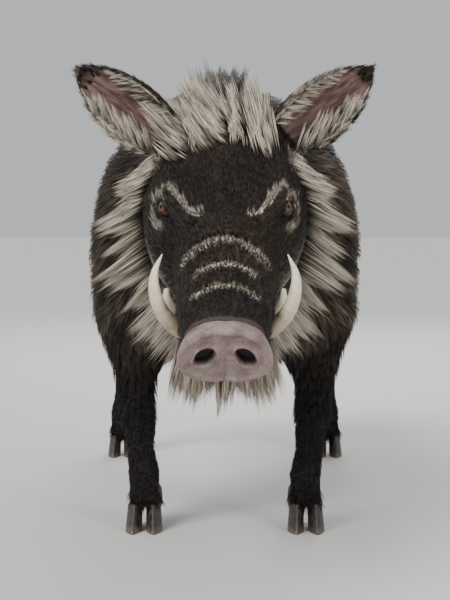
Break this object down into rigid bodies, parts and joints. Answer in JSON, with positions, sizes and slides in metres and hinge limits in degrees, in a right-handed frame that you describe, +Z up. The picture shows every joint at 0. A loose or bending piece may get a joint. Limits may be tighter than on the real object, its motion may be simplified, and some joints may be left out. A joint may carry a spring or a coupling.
{
  "type": "wild boar",
  "caption": "Life-size adult male wild boar in winter coat, standing on four feet with its head lowered, ears out, tusks and bristle crest up.",
  "frame": {"origin": "middle of the footprint box, on the floor under the hooves", "axes": "+Z up, +X to the boar's left, and the boar faces -Y, so its length runs along Y"},
  "size_m": [0.5668, 1.494, 0.8736],
  "materials": {
    "coat": "coarse grizzled brown-black winter bristle",
    "dark_coat": "near-black bristle of legs, ears, crest and tail tuft",
    "pale_coat": "greyish-white grizzled hair of cheeks and chin",
    "snout_skin": "bare moist grey-brown skin, finely wrinkled",
    "tusk_ivory": "ivory, stained darker at the root",
    "eye": "wet dark brown",
    "hoof_horn": "dark horn with faint growth lines"
  },
  "bodies": {
    "root": {"beard": "pale_coat", "ear_left": "dark_coat", "ear_right": "dark_coat", "eye_left": "eye", "eye_right": "eye", "foreleg_dewclaw_inner_left": "hoof_horn", "foreleg_dewclaw_inner_right": "hoof_horn", "foreleg_dewclaw_outer_left": "hoof_horn", "foreleg_dewclaw_outer_right": "hoof_horn", "foreleg_hoof_inner_left": "hoof_horn", "foreleg_hoof_inner_right": "hoof_horn", "foreleg_hoof_outer_left": "hoof_horn", "foreleg_hoof_outer_right": "hoof_horn", "foreleg_lower_left": "dark_coat", "foreleg_lower_right": "dark_coat", "foreleg_upper_left": "dark_coat", "foreleg_upper_right": "dark_coat", "head": "coat", "hindleg_dewclaw_inner_left": "hoof_horn", "hindleg_dewclaw_inner_right": "hoof_horn", "hindleg_dewclaw_outer_left": "hoof_horn", "hindleg_dewclaw_outer_right": "hoof_horn", "hindleg_hoof_inner_left": "hoof_horn", "hindleg_hoof_inner_right": "hoof_horn", "hindleg_hoof_outer_left": "hoof_horn", "hindleg_hoof_outer_right": "hoof_horn", "hindleg_lower_left": "dark_coat", "hindleg_lower_right": "dark_coat", "hindleg_upper_left": "dark_coat", "hindleg_upper_right": "dark_coat", "lower_jaw": "coat", "mane_back": "dark_coat", "mane_crown": "dark_coat", "mane_neck": "dark_coat", "neck": "coat", "ruff_left": "pale_coat", "ruff_right": "pale_coat", "snout_disc": "snout_skin", "tail": "coat", "tail_tuft": "dark_coat", "trunk": "coat", "tusk_lower_left": "tusk_ivory", "tusk_lower_right": "tusk_ivory", "tusk_upper_left": "tusk_ivory", "tusk_upper_right": "tusk_ivory"}
  },
  "joints": []
}
